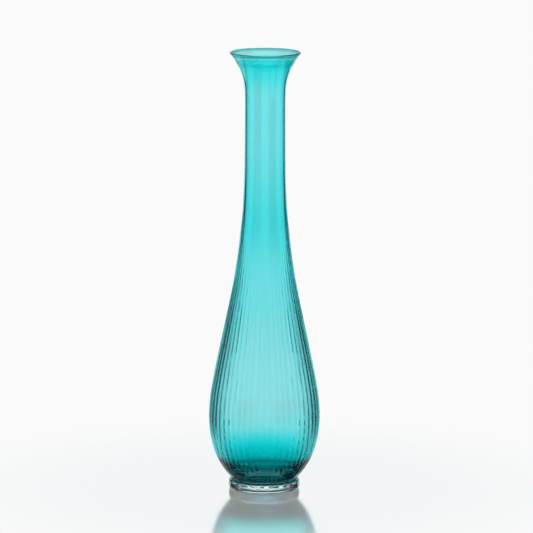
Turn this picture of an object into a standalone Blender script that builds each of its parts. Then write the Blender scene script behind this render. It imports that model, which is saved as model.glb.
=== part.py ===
"""Blown glass bud vase: an optic-ribbed teal vessel on an applied clear glass foot.

Units are metres and +Z is up. The origin is the centre of the flat underside,
on the vase's axis. Both pieces are turned about that axis.
"""

import math

import bmesh
import bpy

# Driving dimensions ---------------------------------------------------------
HEIGHT = 0.2987  # overall, from the table to the top of the lip
FOOT_HEIGHT = 0.0065  # the clear disc under the vessel
JOINT_GAP = 0.0003  # between the foot's top and the vessel's underside
LIP_RADIUS = 0.0007  # half the thickness of the fire-polished lip
RIB_COUNT = 52  # optic ribs round the vessel
RIB_DEPTH = 0.00045  # crest to valley, where the ribs are deepest
RIB_START = 0.0300  # height at which the ribs reach their full depth
RIB_FADE = 0.090  # height at which they begin to fade
RIB_END = 0.200  # height at which they are gone

# Outer skin: height and crest radius at the stations that set its line.
OUTER_LINE = (
    (FOOT_HEIGHT + JOINT_GAP, 0.02235),
    (0.0085, 0.02370),
    (0.0138, 0.02790),
    (0.0220, 0.03235),
    (0.0310, 0.03550),
    (0.0400, 0.03725),
    (0.0500, 0.03780),
    (0.0610, 0.03715),
    (0.0760, 0.03480),
    (0.0970, 0.03055),
    (0.1220, 0.02520),
    (0.1470, 0.02035),
    (0.1710, 0.01710),
    (0.1960, 0.01482),
    (0.2180, 0.01396),
    (0.2400, 0.01378),
    (0.2640, 0.01374),
    (0.2735, 0.01394),
    (0.2800, 0.01485),
    (0.2860, 0.01685),
    (0.2920, 0.02005),
    (0.2962, 0.02285),
)

# Inner skin: its floor and bowl up to where the wall takes over.
BOWL_LINE = (
    (0.0000, 0.0123),
    (0.0090, 0.0124),
    (0.0150, 0.0127),
    (0.0180, 0.0133),
    (0.0205, 0.0140),
    (0.0230, 0.0150),
    (0.0254, 0.0163),
    (0.0276, 0.0179),
    (0.0294, 0.0197),
    (0.0308, 0.0218),
    (0.0320, 0.0242),
    (0.0331, 0.0272),
    (0.0343, 0.0310),
    (0.0354, 0.0356),
    (0.0361, 0.0400),
)

# Mean wall thickness against height, above the bowl, measured square to the skin.
WALL = (
    (0.0400, 0.00094),
    (0.0500, 0.00082),
    (0.0640, 0.00077),
    (0.0800, 0.00079),
    (0.1070, 0.00091),
    (0.1240, 0.00105),
    (0.1410, 0.00116),
    (0.1570, 0.00130),
    (0.1655, 0.00148),
    (0.1740, 0.00166),
    (0.1820, 0.00175),
    (0.1900, 0.00171),
    (0.1980, 0.00157),
    (0.2150, 0.00135),
    (0.2400, 0.00114),
    (0.2730, 0.00114),
    (0.2880, 0.00128),
    (0.2962, 0.00100),
)

# Foot: radius and height round its edge, from the underside to the top.
FOOT_EDGE = (
    (0.02290, 0.0000),
    (0.02370, 0.0006),
    (0.02405, 0.0014),
    (0.02415, 0.0026),
    (0.02412, 0.0042),
    (0.02390, 0.0056),
    (0.02330, 0.0062),
    (0.02240, FOOT_HEIGHT),
)

OUTER_STEPS = 2 * RIB_COUNT  # one crest and one valley a rib
INNER_STEPS = RIB_COUNT
FOOT_STEPS = RIB_COUNT


def smooth_line(line, at):
    """A monotone cubic through (position, value) pairs, read at one position."""
    count = len(line)
    step = [line[i + 1][0] - line[i][0] for i in range(count - 1)]
    slope = [(line[i + 1][1] - line[i][1]) / step[i] for i in range(count - 1)]
    tangent = [slope[0]]
    for i in range(1, count - 1):
        if slope[i - 1] * slope[i] <= 0:
            tangent.append(0.0)
            continue
        w1 = 2 * step[i] + step[i - 1]
        w2 = step[i] + 2 * step[i - 1]
        tangent.append((w1 + w2) / (w1 / slope[i - 1] + w2 / slope[i]))
    tangent.append(slope[-1])
    if at <= line[0][0]:
        return line[0][1]
    if at >= line[-1][0]:
        return line[-1][1]
    i = max(k for k in range(count - 1) if line[k][0] <= at)
    t = (at - line[i][0]) / step[i]
    return (
        (2 * t**3 - 3 * t**2 + 1) * line[i][1]
        + (t**3 - 2 * t**2 + t) * step[i] * tangent[i]
        + (-2 * t**3 + 3 * t**2) * line[i + 1][1]
        + (t**3 - t**2) * step[i] * tangent[i + 1]
    )


def ease(t):
    t = min(max(t, 0.0), 1.0)
    return t * t * (3 - 2 * t)


def rib_depth(z):
    """Crest to valley at a height: full on the belly, gone in the neck."""
    rise = ease((z - OUTER_LINE[0][0]) / (RIB_START - OUTER_LINE[0][0]))
    fall = 1 - ease((z - RIB_FADE) / (RIB_END - RIB_FADE))
    return RIB_DEPTH * rise * fall


def outer_heights():
    """Heights of the outer rings, closer where the line bends more."""
    stops = (
        (0.0068, 0.0138, 3),
        (0.0138, 0.0600, 8),
        (0.0600, 0.1220, 5),
        (0.1220, 0.1960, 5),
        (0.1960, 0.2640, 3),
        (0.2640, 0.2962, 6),
    )
    heights = [stops[0][0]]
    for low, high, steps in stops:
        heights += [low + (high - low) * (k + 1) / steps for k in range(steps)]
    return heights


def outer_points():
    """(radius, height) up the outer skin and half-way over the lip."""
    points = [(0.0, OUTER_LINE[0][0])]
    points += [(smooth_line(OUTER_LINE, z), z) for z in outer_heights()]
    lip_z = HEIGHT - LIP_RADIUS
    lip_r = smooth_line(OUTER_LINE, 0.2962) + 0.0005
    for degrees in (-25, 15, 55, 95):
        a = math.radians(degrees)
        points.append((lip_r + LIP_RADIUS * math.cos(a), lip_z + LIP_RADIUS * math.sin(a)))
    return points


def inner_points():
    """(radius, height) down from the lip's inner side to the centre of the floor."""
    lip_z = HEIGHT - LIP_RADIUS
    lip_r = smooth_line(OUTER_LINE, 0.2962) + 0.0005
    points = []
    for degrees in (135, 170):
        a = math.radians(degrees)
        points.append((lip_r + LIP_RADIUS * math.cos(a), lip_z + LIP_RADIUS * math.sin(a)))
    heights = (
        0.2945, 0.2905, 0.2865, 0.2825, 0.2775, 0.2720, 0.2620, 0.2280,
        0.1960, 0.1760, 0.1560, 0.1360, 0.1140, 0.0920, 0.0740, 0.0610, 0.0500, 0.0430,
    )
    for z in heights:
        slope = (smooth_line(OUTER_LINE, z + 0.0005) - smooth_line(OUTER_LINE, z - 0.0005)) / 0.001
        wall = (smooth_line(WALL, z) + rib_depth(z) / 2) * math.sqrt(1 + slope * slope)
        points.append((smooth_line(OUTER_LINE, z) - wall, z))
    points += [(r, z) for r, z in reversed(BOWL_LINE)]
    return points


def foot_points():
    return [(0.0, 0.0)] + list(FOOT_EDGE) + [(0.0, FOOT_HEIGHT)]


def spin(bm, points, steps):
    """Turns a chain of (radius, height) points about Z."""
    verts = [bm.verts.new((r, 0.0, z)) for r, z in points]
    edges = [bm.edges.new(pair) for pair in zip(verts, verts[1:])]
    bmesh.ops.spin(
        bm,
        geom=verts + edges,
        cent=(0, 0, 0),
        axis=(0, 0, 1),
        angle=2 * math.pi,
        steps=steps,
        use_merge=True,
        use_duplicate=False,
    )
    bmesh.ops.remove_doubles(bm, verts=bm.verts[:], dist=1e-6)


def glass(name, colour, roughness):
    material = bpy.data.materials.new(name)
    material.use_nodes = True
    shader = material.node_tree.nodes["Principled BSDF"]
    shader.inputs["Base Color"].default_value = (*colour, 1)
    shader.inputs["Roughness"].default_value = roughness
    shader.inputs["Metallic"].default_value = 0.0
    shader.inputs["IOR"].default_value = 1.5
    shader.inputs["Transmission Weight"].default_value = 1.0
    return material


def finish(bm, name, material):
    bmesh.ops.recalc_face_normals(bm, faces=bm.faces[:])
    mesh = bpy.data.meshes.new(name)
    bm.to_mesh(mesh)
    bm.free()
    mesh.shade_smooth()
    mesh.set_sharp_from_angle(angle=math.radians(50))
    mesh.materials.append(material)
    obj = bpy.data.objects.new(name, mesh)
    bpy.context.collection.objects.link(obj)
    return obj


def build_vessel():
    bm = bmesh.new()
    spin(bm, outer_points(), OUTER_STEPS)
    # The ribs: every second line of points is drawn in towards the axis.
    half = math.pi / RIB_COUNT
    for vert in bm.verts:
        radius = math.hypot(vert.co.x, vert.co.y)
        depth = rib_depth(vert.co.z)
        if radius < 1e-6 or depth == 0.0:
            continue
        turn = math.atan2(vert.co.y, vert.co.x) / half
        inward = depth * (round(turn) % 2) / radius
        vert.co.x *= 1 - inward
        vert.co.y *= 1 - inward
    spin(bm, inner_points(), INNER_STEPS)
    rims = [edge for edge in bm.edges if edge.is_boundary]
    bmesh.ops.bridge_loops(bm, edges=rims)
    return finish(bm, "teal_vessel", glass("teal_glass", (0.10, 0.72, 0.77), 0.02))


def build_foot():
    bm = bmesh.new()
    spin(bm, foot_points(), FOOT_STEPS)
    return finish(bm, "clear_foot", glass("clear_glass", (0.93, 0.96, 0.96), 0.02))


for old in list(bpy.data.objects):
    bpy.data.objects.remove(old, do_unlink=True)

build_vessel()
build_foot()
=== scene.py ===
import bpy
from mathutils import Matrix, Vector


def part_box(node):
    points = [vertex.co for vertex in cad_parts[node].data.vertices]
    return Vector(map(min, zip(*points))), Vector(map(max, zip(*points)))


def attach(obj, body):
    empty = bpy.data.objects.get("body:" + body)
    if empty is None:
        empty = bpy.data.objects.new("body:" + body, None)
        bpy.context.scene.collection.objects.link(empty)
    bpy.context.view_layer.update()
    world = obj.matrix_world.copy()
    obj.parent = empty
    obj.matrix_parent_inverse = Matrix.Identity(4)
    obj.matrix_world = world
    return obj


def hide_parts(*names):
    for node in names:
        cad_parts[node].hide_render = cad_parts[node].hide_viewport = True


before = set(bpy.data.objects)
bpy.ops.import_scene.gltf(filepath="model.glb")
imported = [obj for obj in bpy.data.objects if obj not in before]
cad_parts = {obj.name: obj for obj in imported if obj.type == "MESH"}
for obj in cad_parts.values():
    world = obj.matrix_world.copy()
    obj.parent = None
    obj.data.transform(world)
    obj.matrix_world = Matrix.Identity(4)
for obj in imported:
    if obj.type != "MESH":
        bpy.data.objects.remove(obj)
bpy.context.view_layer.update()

import math

import bmesh
import bpy
from mathutils import Vector, noise

# ---------------------------------------------------------------------------
# Dimensions, in metres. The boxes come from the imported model.
# ---------------------------------------------------------------------------
(_, _, BASE_Z), (_, _, TOP_Z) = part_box("teal_vessel")
(_, _, FOOT_LOW), (_, _, FOOT_TOP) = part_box("clear_foot")
BELLY_R = (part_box("teal_vessel")[1][0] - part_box("teal_vessel")[0][0]) / 2

RIB_COUNT = 52
RIB_DEPTH = 0.00045
# heights at which the ribs reach their full depth, begin to fade and are gone
RIB_START, RIB_FADE, RIB_END = 0.030, 0.090, 0.200
LIP_R = 0.0007
# how far the foot's underside is pushed up at its middle, and its pits' depth
KICK = 0.0005
MOTTLE = 0.00015

OUTER_LINE = (
    (0.0068, 0.02235),
    (0.0085, 0.02370),
    (0.0138, 0.02790),
    (0.0220, 0.03235),
    (0.0310, 0.03550),
    (0.0400, 0.03725),
    (0.0500, 0.03780),
    (0.0610, 0.03715),
    (0.0760, 0.03480),
    (0.0970, 0.03055),
    (0.1220, 0.02520),
    (0.1470, 0.02035),
    (0.1710, 0.01710),
    (0.1960, 0.01482),
    (0.2180, 0.01396),
    (0.2400, 0.01378),
    (0.2640, 0.01374),
    (0.2735, 0.01394),
    (0.2800, 0.01485),
    (0.2860, 0.01685),
    (0.2920, 0.02005),
    (0.2962, 0.02285),
)
# radius against height of the bowl's floor and heel, bottom up
BOWL_LINE = (
    (0.0000, 0.0123),
    (0.0090, 0.0124),
    (0.0150, 0.0127),
    (0.0180, 0.0133),
    (0.0205, 0.0140),
    (0.0230, 0.0150),
    (0.0254, 0.0163),
    (0.0276, 0.0179),
    (0.0294, 0.0197),
    (0.0308, 0.0218),
    (0.0320, 0.0242),
    (0.0331, 0.0272),
    (0.0343, 0.0310),
    (0.0354, 0.0356),
    (0.0361, 0.0400),
)
WALL = (
    (0.0400, 0.00094),
    (0.0500, 0.00082),
    (0.0640, 0.00077),
    (0.0800, 0.00079),
    (0.1070, 0.00091),
    (0.1240, 0.00105),
    (0.1410, 0.00116),
    (0.1570, 0.00130),
    (0.1655, 0.00148),
    (0.1740, 0.00166),
    (0.1820, 0.00175),
    (0.1900, 0.00171),
    (0.1980, 0.00157),
    (0.2150, 0.00135),
    (0.2400, 0.00114),
    (0.2730, 0.00114),
    (0.2880, 0.00128),
    (0.2962, 0.00100),
)


class Line:
    """A monotone cubic through (position, value) pairs."""

    def __init__(self, pairs):
        self.x = [p[0] for p in pairs]
        self.y = [p[1] for p in pairs]
        n = len(pairs)
        h = [self.x[i + 1] - self.x[i] for i in range(n - 1)]
        s = [(self.y[i + 1] - self.y[i]) / h[i] for i in range(n - 1)]
        m = [s[0]]
        for i in range(1, n - 1):
            if s[i - 1] * s[i] <= 0:
                m.append(0.0)
            else:
                w1, w2 = 2 * h[i] + h[i - 1], h[i] + 2 * h[i - 1]
                m.append((w1 + w2) / (w1 / s[i - 1] + w2 / s[i]))
        m.append(s[-1])
        self.h, self.m = h, m

    def __call__(self, at):
        x, y, h, m = self.x, self.y, self.h, self.m
        if at <= x[0]:
            return y[0]
        if at >= x[-1]:
            return y[-1]
        i = max(k for k in range(len(h)) if x[k] <= at)
        t = (at - x[i]) / h[i]
        return (
            (2 * t**3 - 3 * t**2 + 1) * y[i]
            + (t**3 - 2 * t**2 + t) * h[i] * m[i]
            + (3 * t**2 - 2 * t**3) * y[i + 1]
            + (t**3 - t**2) * h[i] * m[i + 1]
        )


outer_r = Line(OUTER_LINE)
wall_t = Line(WALL)


def soften(fn, at, span, low, high):
    """The line averaged over a short span, so that its curvature is smooth."""
    total = weight = 0.0
    for k in range(-3, 4):
        z = at + span * k / 3
        if low <= z <= high:
            w = 1 - abs(k) / 4
            total += w * fn(z)
            weight += w
    return total / weight


def ease(t):
    t = min(max(t, 0.0), 1.0)
    return t * t * (3 - 2 * t)


def rib_share(z):
    rise = ease((z - 0.0068) / (RIB_START - 0.0068))
    fall = 1 - ease((z - RIB_FADE) / (RIB_END - RIB_FADE))
    return rise * fall


def skin_r(z):
    """The vessel's crest radius at a height."""
    span = 0.0035 if 0.02 < z < 0.285 else 0.0
    if not span:
        return outer_r(z)
    return soften(outer_r, z, span, 0.0068, 0.2962)


JOINT_R = 0.0214  # the disc over which the two glasses are fused


# ---------------------------------------------------------------------------
# Mesh helpers
# ---------------------------------------------------------------------------
def revolve(bm, rows, steps, shape, mask):
    """Rings of points from (radius, height, kind) rows, joined by quads. A row
    at radius 0 is a pole. shape(r, z, angle) gives the point's radius, and kind
    is stored in the mask layer."""
    rings = []
    for r, z, kind in rows:
        if r < 1e-7:
            v = bm.verts.new((0, 0, z))
            v[mask] = kind
            rings.append([v])
            continue
        ring = []
        for k in range(steps):
            a = 2 * math.pi * k / steps
            rr = shape(r, z, a)
            v = bm.verts.new((rr * math.cos(a), rr * math.sin(a), z))
            v[mask] = kind
            ring.append(v)
        rings.append(ring)
    for low, high in zip(rings, rings[1:]):
        for k in range(steps):
            n = (k + 1) % steps
            if len(low) == 1:
                bm.faces.new((low[0], high[n], high[k]))
            elif len(high) == 1:
                bm.faces.new((low[k], low[n], high[0]))
            else:
                bm.faces.new((low[k], low[n], high[n], high[k]))
    return rings


def smooth_object(bm, name, material):
    bmesh.ops.recalc_face_normals(bm, faces=bm.faces[:])
    mesh = bpy.data.meshes.new(name)
    bm.to_mesh(mesh)
    bm.free()
    mesh.shade_smooth()
    mesh.materials.append(material)
    obj = bpy.data.objects.new(name, mesh)
    bpy.context.collection.objects.link(obj)
    return obj


# Painted shade in the surface colour: darker towards the heel and in bands
# under the lip, partly standing for coloured glass thicker than the mesh. Each
# row is a height and how much red, green and blue one crossing of the wall loses
# there, beyond what the wall's thickness takes, as natural logarithms.
TINT_AND_PAINTED_SHADE = (
    (0.0068, 4.50, 1.20, 1.25),
    (0.0080, 4.50, 0.95, 1.00),
    (0.0090, 4.50, 2.20, 2.20),
    (0.0102, 4.50, 3.20, 3.20),
    (0.0114, 4.50, 1.00, 1.05),
    (0.0135, 4.50, 0.60, 0.66),
    (0.0148, 4.40, 0.46, 0.51),
    (0.0167, 4.30, 0.36, 0.39),
    (0.0204, 4.00, 0.28, 0.28),
    (0.0220, 3.80, 0.24, 0.24),
    (0.0240, 3.30, 0.21, 0.21),
    (0.0260, 2.00, 0.17, 0.17),
    (0.0279, 1.20, 0.13, 0.13),
    (0.0298, 0.80, 0.10, 0.10),
    (0.0318, 0.47, 0.07, 0.07),
    (0.0345, 0.22, 0.04, 0.04),
    (0.0400, 0.06, 0.01, 0.01),
    (0.0480, 0.02, 0.045, 0.045),
    (0.2700, 0.0, 0.01, 0.0),
    (0.2740, 0.12, 0.01, 0.01),
    (0.2800, 0.32, 0.03, 0.03),
    (0.2852, 0.50, 0.04, 0.04),
    (0.2878, 0.90, 0.06, 0.06),
    (0.2895, 1.60, 0.10, 0.10),
    (0.2905, 2.60, 0.22, 0.22),
    (0.2915, 2.70, 0.27, 0.27),
    (0.2925, 2.00, 0.17, 0.17),
    (0.2935, 0.40, 0.03, 0.03),
    (0.2952, 0.10, 0.09, 0.09),
    (0.2964, 0.30, 0.16, 0.16),
    (0.2972, 0.80, 0.36, 0.36),
    (0.2984, 2.00, 0.80, 0.80),
)


# ---------------------------------------------------------------------------
# Materials
# ---------------------------------------------------------------------------
def glass_material(name, absorb, tint, tint_and_shade=()):
    """Solid glass, coloured by the depth of glass that light passes, and clear at
    its surface unless tint_and_shade rows paint a height-banded shade into its
    surface colour. absorb is per metre for red, green and blue."""
    mat = bpy.data.materials.new(name)
    mat.use_nodes = True
    nt = mat.node_tree
    bsdf = nt.nodes["Principled BSDF"]
    out = nt.nodes["Material Output"]
    bsdf.inputs["Base Color"].default_value = (1, 1, 1, 1)
    bsdf.inputs["Roughness"].default_value = 0.0
    bsdf.inputs["IOR"].default_value = 1.5
    bsdf.inputs["Transmission Weight"].default_value = 1.0
    bsdf.inputs["Specular Tint"].default_value = (*tint, 1)

    # where the two glasses are fused there is no surface for light to meet
    joint = nt.nodes.new("ShaderNodeAttribute")
    joint.attribute_name = "joint"
    ior = nt.nodes.new("ShaderNodeMapRange")
    ior.inputs["From Min"].default_value = 0.0
    ior.inputs["From Max"].default_value = 1.0
    ior.inputs["To Min"].default_value = 1.5
    ior.inputs["To Max"].default_value = 1.0
    nt.links.new(joint.outputs["Fac"], ior.inputs["Value"])
    nt.links.new(ior.outputs["Result"], bsdf.inputs["IOR"])

    # striae: faint upright streaks in the melt, and the slight waviness of a
    # surface that cooled in air
    coord = nt.nodes.new("ShaderNodeTexCoord")
    stretch = nt.nodes.new("ShaderNodeMapping")
    stretch.inputs["Scale"].default_value = (1.0, 1.0, 0.06)
    nt.links.new(coord.outputs["Object"], stretch.inputs["Vector"])
    streak = nt.nodes.new("ShaderNodeTexNoise")
    streak.inputs["Scale"].default_value = 260.0
    streak.inputs["Detail"].default_value = 2.0
    nt.links.new(stretch.outputs["Vector"], streak.inputs["Vector"])
    ramp = nt.nodes.new("ShaderNodeValToRGB")
    ramp.color_ramp.elements[0].position = 0.35
    ramp.color_ramp.elements[0].color = (0.943, 0.943, 0.953, 1)
    ramp.color_ramp.elements[1].position = 0.65
    ramp.color_ramp.elements[1].color = (0.957, 0.957, 0.967, 1)
    nt.links.new(streak.outputs["Fac"], ramp.inputs["Fac"])
    colour = ramp.outputs["Color"]
    # painted shade: a height ramp darkens the surface colour towards the heel and under the lip
    if tint_and_shade:
        split = nt.nodes.new("ShaderNodeSeparateXYZ")
        nt.links.new(coord.outputs["Object"], split.inputs["Vector"])
        height = nt.nodes.new("ShaderNodeMapRange")
        height.inputs["From Min"].default_value = 0.0
        height.inputs["From Max"].default_value = 0.300
        nt.links.new(split.outputs["Z"], height.inputs["Value"])
        shade_ramp = nt.nodes.new("ShaderNodeValToRGB")
        stops = shade_ramp.color_ramp.elements
        while len(stops) < len(tint_and_shade):
            stops.new(len(stops) / 40)
        for stop, row in zip(stops, tint_and_shade):
            stop.position = row[0] / 0.300
        for stop, row in zip(stops, tint_and_shade):
            stop.color = (*[math.exp(-v) for v in row[1:]], 1)
        nt.links.new(height.outputs["Result"], shade_ramp.inputs["Fac"])
        mix = nt.nodes.new("ShaderNodeMix")
        mix.data_type = "RGBA"
        mix.blend_type = "MULTIPLY"
        mix.inputs["Factor"].default_value = 1.0
        nt.links.new(colour, mix.inputs["A"])
        nt.links.new(shade_ramp.outputs["Color"], mix.inputs["B"])
        colour = mix.outputs["Result"]
    nt.links.new(colour, bsdf.inputs["Base Color"])

    wave = nt.nodes.new("ShaderNodeTexNoise")
    wave.inputs["Scale"].default_value = 90.0
    wave.inputs["Detail"].default_value = 1.0
    nt.links.new(stretch.outputs["Vector"], wave.inputs["Vector"])
    bump = nt.nodes.new("ShaderNodeBump")
    bump.inputs["Strength"].default_value = 0.02
    bump.inputs["Distance"].default_value = 0.0002
    nt.links.new(wave.outputs["Fac"], bump.inputs["Height"])
    nt.links.new(bump.outputs["Normal"], bsdf.inputs["Normal"])

    volume = nt.nodes.new("ShaderNodeVolumeAbsorption")
    density = max(absorb) * 1.02
    volume.inputs["Density"].default_value = density
    volume.inputs["Color"].default_value = (*[1 - a / density for a in absorb], 1)
    nt.links.new(volume.outputs["Volume"], out.inputs["Volume"])
    return mat


# the teal glass's surface colour carries the painted shade at the heel and under the lip
TEAL = glass_material("teal_glass", (720.0, 40.0, 33.0), (0.0, 0.9, 1.0), TINT_AND_PAINTED_SHADE)
CLEAR = glass_material("clear_glass", (3.0, 1.2, 1.4), (1.0, 1.0, 1.0))


# ---------------------------------------------------------------------------
# The vessel
# ---------------------------------------------------------------------------
def spaced(low, high, steps):
    return [low + (high - low) * k / steps for k in range(steps)]


def vessel():
    bm = bmesh.new()
    mask = bm.verts.layers.float.new("joint")
    ribs = 8
    outer_steps = RIB_COUNT * ribs
    inner_steps = RIB_COUNT * 4

    def flute(a):
        """0 on a rib's crest and 1 in the valley: a rounded rib, and a
        valley a little tighter than the crest."""
        turn = RIB_COUNT * a / (2 * math.pi)
        t = 2 * abs(turn - round(turn))
        return 0.55 * t * t + 0.45 * (0.5 - 0.5 * math.cos(math.pi * t))

    def ribbed(r, z, a):
        share = rib_share(z)
        if share <= 0:
            return r
        return r - RIB_DEPTH * share * flute(a)

    rows = [(JOINT_R * k / 6, BASE_Z, 1.0) for k in range(7)]
    # the heel turns up over a small round
    rows += [(0.0219, BASE_Z + 0.00006, 0.6), (0.02222, BASE_Z + 0.0003, 0.0)]
    heights = (
        spaced(0.0073, 0.0140, 9)
        + spaced(0.0140, 0.0600, 34)
        + spaced(0.0600, 0.1220, 30)
        + spaced(0.1220, 0.1960, 26)
        + spaced(0.1960, 0.2640, 14)
        + spaced(0.2640, 0.2962, 22)
        + [0.2962]
    )
    rows += [(skin_r(z), z, 0.0) for z in heights]
    lip_z = TOP_Z - LIP_R
    lip_r = outer_r(0.2962) + 0.0005
    for k in range(9):
        a = math.radians(-38 + (95 + 38) * k / 8)
        rows.append((lip_r + LIP_R * math.cos(a), lip_z + LIP_R * math.sin(a), 0.0))
    revolve(bm, rows, outer_steps, ribbed, mask)

    rows = []
    for k in range(7):
        a = math.radians(100 + (178 - 100) * k / 6)
        rows.append((lip_r + LIP_R * math.cos(a), lip_z + LIP_R * math.sin(a), 0.0))
    line = []
    for z in reversed(
        spaced(0.0400, 0.0740, 22)
        + spaced(0.0740, 0.1220, 22)
        + spaced(0.1220, 0.1960, 22)
        + spaced(0.1960, 0.2640, 12)
        + spaced(0.2640, 0.2960, 22)
    ):
        slope = (skin_r(z + 0.0008) - skin_r(z - 0.0008)) / 0.0016
        t = soften(wall_t, z, 0.002, 0.04, 0.2962) + 0.5 * RIB_DEPTH * rib_share(z)
        t *= math.sqrt(1 + slope * slope)
        line.append((skin_r(z) - t, z, 0.0))
    rows += line
    # the bowl below the wall, as one even curve to the pole
    bowl = Line([(i, v) for i, v in enumerate([p[0] for p in BOWL_LINE])])
    bowl_z = Line([(i, v) for i, v in enumerate([p[1] for p in BOWL_LINE])])
    top = line[-1]
    count = 36
    last = len(BOWL_LINE) - 1
    for k in range(1, count + 1):
        i = last * (1 - k / count)
        rows.append((bowl(i), bowl_z(i), 0.0))
    rows[-1] = (0.0, rows[-1][1], 0.0)
    revolve(bm, rows, inner_steps, lambda r, z, a: r, mask)
    rims = [edge for edge in bm.edges if edge.is_boundary]
    bmesh.ops.bridge_loops(bm, edges=rims)
    bmesh.ops.triangulate(bm, faces=[f for f in bm.faces if len(f.verts) > 4])
    return smooth_object(bm, "vessel_glass", TEAL)


def foot():
    bm = bmesh.new()
    mask = bm.verts.layers.float.new("joint")
    steps = 256
    edge = (
        (0.02290, 0.00000),
        (0.02370, 0.00060),
        (0.02405, 0.00140),
        (0.02415, 0.00260),
        (0.02412, 0.00420),
        (0.02390, 0.00560),
        (0.02330, 0.00630),
        (0.02240, 0.00660),
    )
    er = Line([(i, p[0]) for i, p in enumerate(edge)])
    ez = Line([(i, p[1]) for i, p in enumerate(edge)])
    # the underside is pushed up a little inside the ring that it stands on
    rows = [(0.0190 * k / 24, 0.0, 0.0) for k in range(25)] + [(0.0200, 0.0, 0.0), (0.0210, 0.0, 0.0)]
    n = 36
    for k in range(n + 1):
        i = (len(edge) - 1) * k / n
        rows.append((er(i), ez(i), 0.0))
    top = FOOT_TOP + 0.00028
    rows += [(0.0221, FOOT_TOP + 0.00022, 0.0), (0.0217, top, 1.0)]
    rows += [(JOINT_R * k / 6, top, 1.0) for k in range(6, -1, -1)]
    rings = revolve(bm, rows, steps, lambda r, z, a: r, mask)
    for v in [v for ring in rings[:25] for v in ring]:
        r = math.hypot(v.co.x, v.co.y)
        inside = ease((0.0130 - r) / 0.0030)
        pits = noise.noise(Vector((v.co.x, v.co.y, 0.3)) * 420) + 0.5 * noise.noise(Vector((v.co.x, v.co.y, 0.7)) * 900)
        v.co.z += inside * (KICK + MOTTLE * pits)
    return smooth_object(bm, "foot_glass", CLEAR)


VESSEL = vessel()
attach(VESSEL, "root")
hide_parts("teal_vessel")

FOOT = foot()
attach(FOOT, "root")
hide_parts("clear_foot")


# ---------------------------------------------------------------------------
# Floor, light and camera
# ---------------------------------------------------------------------------
def floor():
    bm = bmesh.new()
    bmesh.ops.create_circle(bm, cap_ends=True, segments=128, radius=6.5)
    mesh = bpy.data.meshes.new("floor")
    bm.to_mesh(mesh)
    bm.free()
    obj = bpy.data.objects.new("floor", mesh)
    obj.location.z = -0.0002
    bpy.context.collection.objects.link(obj)
    mat = bpy.data.materials.new("floor_gloss")
    mat.use_nodes = True
    nt = mat.node_tree
    bsdf = nt.nodes["Principled BSDF"]
    out = nt.nodes["Material Output"]
    bsdf.inputs["Base Color"].default_value = (0.87, 0.925, 0.935, 1)
    bsdf.inputs["Metallic"].default_value = 1
    bsdf.inputs["Roughness"].default_value = 0.11
    bsdf.inputs["IOR"].default_value = 2.0
    coord = nt.nodes.new("ShaderNodeTexCoord")
    length = nt.nodes.new("ShaderNodeVectorMath")
    length.operation = "LENGTH"
    nt.links.new(coord.outputs["Object"], length.inputs[0])
    fade = nt.nodes.new("ShaderNodeMapRange")
    fade.interpolation_type = "SMOOTHSTEP"
    fade.inputs["From Min"].default_value = 0.10
    fade.inputs["From Max"].default_value = 0.26
    fade.inputs["To Min"].default_value = 0.25
    nt.links.new(length.outputs["Value"], fade.inputs["Value"])
    clear = nt.nodes.new("ShaderNodeBsdfTransparent")
    mix = nt.nodes.new("ShaderNodeMixShader")
    nt.links.new(fade.outputs["Result"], mix.inputs["Fac"])
    nt.links.new(bsdf.outputs["BSDF"], mix.inputs[1])
    nt.links.new(clear.outputs["BSDF"], mix.inputs[2])
    nt.links.new(mix.outputs["Shader"], out.inputs["Surface"])
    mesh.materials.append(mat)
    return obj


floor()


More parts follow.
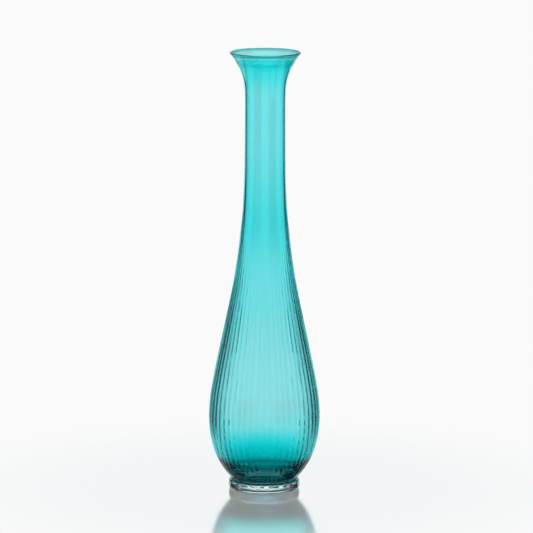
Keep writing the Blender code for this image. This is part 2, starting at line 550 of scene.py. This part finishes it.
def studio():
    """A soft studio in a dark room: a tall pale panel behind the vase on each
    side that it is looked at from, and one soft lamp overhead. What the glass
    bends light to between the panels is unlit, which draws its edges."""
    world = bpy.data.worlds.new("studio")
    bpy.context.scene.world = world
    world.use_nodes = True
    nt = world.node_tree
    background = nt.nodes["Background"]
    coord = nt.nodes.new("ShaderNodeTexCoord")
    split = nt.nodes.new("ShaderNodeSeparateXYZ")
    nt.links.new(coord.outputs["Generated"], split.inputs["Vector"])

    def math_node(op, *values):
        node = nt.nodes.new("ShaderNodeMath")
        node.operation = op
        for i, value in enumerate(values):
            if isinstance(value, (int, float)):
                node.inputs[i].default_value = value
            else:
                nt.links.new(value, node.inputs[i])
        return node.outputs["Value"]

    def step(value, low, high, a=0.0, b=1.0):
        node = nt.nodes.new("ShaderNodeMapRange")
        node.interpolation_type = "SMOOTHSTEP"
        nt.links.new(value, node.inputs["Value"])
        node.inputs["From Min"].default_value = low
        node.inputs["From Max"].default_value = high
        node.inputs["To Min"].default_value = a
        node.inputs["To Max"].default_value = b
        return node.outputs["Result"]

    x, y, z = split.outputs
    flat = math_node("SQRT", math_node("ADD", math_node("MULTIPLY", x, x), math_node("MULTIPLY", y, y)))
    flat = math_node("MAXIMUM", flat, 1e-4)

    def sine(degrees):
        return math.sin(math.radians(degrees))

    def panel(heading, half, low, high, level, soft=4.0):
        """A panel centred on a compass heading, 0 being +Y and 90 being +X."""
        a = math.radians(heading)
        along = math_node("ADD", math_node("MULTIPLY", x, math.sin(a)), math_node("MULTIPLY", y, math.cos(a)))
        side = step(
            math_node("DIVIDE", along, flat),
            math.cos(math.radians(half + soft)),
            math.cos(math.radians(half - soft)),
        )
        top = step(z, sine(high - 2), sine(high + 2), 1.0, 0.0)
        value = math_node("MULTIPLY", side, top)
        if low is not None:
            value = math_node("MULTIPLY", value, step(z, sine(low - 2), sine(low + 2)))
        return math_node("MULTIPLY", value, level)

    total = ROOM
    for spec in PANELS:
        total = math_node("MAXIMUM", total, panel(*spec))
    lamp = step(z, sine(60), sine(68), 0.0, LAMP)
    total = math_node("ADD", total, lamp)
    nt.links.new(total, background.inputs["Strength"])
    background.inputs["Color"].default_value = (1, 1, 1, 1)
    world.cycles.sampling_method = "MANUAL"
    world.cycles.sample_map_resolution = 1024


ROOM = 0.03  # the unlit room
LAMP = 2.6
# heading, half width, lowest and highest elevation, level
PANELS = (
    (0, 26, None, 42, 0.955, 8.0),
    (-90, 22, None, 34, 1.0),
    (90, 22, None, 34, 1.0),
    (180, 22, None, 34, 1.0),
    (-45, 11, None, -17, 0.95),
    (135, 16, None, -9, 0.95),
    (-45, 11, 17, 34, 1.0),
    (45, 11, 17, 34, 1.0),
    (135, 16, 5, 34, 1.05),
    (-135, 16, 5, 34, 1.0),
)

studio()

CAMERA_D, CAMERA_H = 3.0, 0.649
PITCH = math.radians(9.3985)
cam_data = bpy.data.cameras.new("camera")
cam_data.sensor_width = 36
cam_data.lens = 303.26
cam_data.clip_start = 0.05
cam_data.clip_end = 60
cam = bpy.data.objects.new("camera", cam_data)
bpy.context.collection.objects.link(cam)
cam.rotation_mode = "QUATERNION"
cam.location = (0.00118, -CAMERA_D, CAMERA_H)
aim = Vector((0, math.cos(PITCH), -math.sin(PITCH)))
turn = aim.to_track_quat("-Z", "Y")
from mathutils import Quaternion
cam.rotation_quaternion = turn @ Quaternion((0, 0, 1), math.radians(0.17))
bpy.context.scene.camera = cam

scene = bpy.context.scene
scene.view_settings.view_transform = "Standard"
scene.view_settings.look = "None"
scene.cycles.max_bounces = 32
scene.cycles.transmission_bounces = 24
scene.cycles.glossy_bounces = 24
scene.cycles.diffuse_bounces = 4
scene.cycles.transparent_max_bounces = 16
scene.cycles.caustics_refractive = True
scene.cycles.caustics_reflective = True
scene.cycles.blur_glossy = 0.0
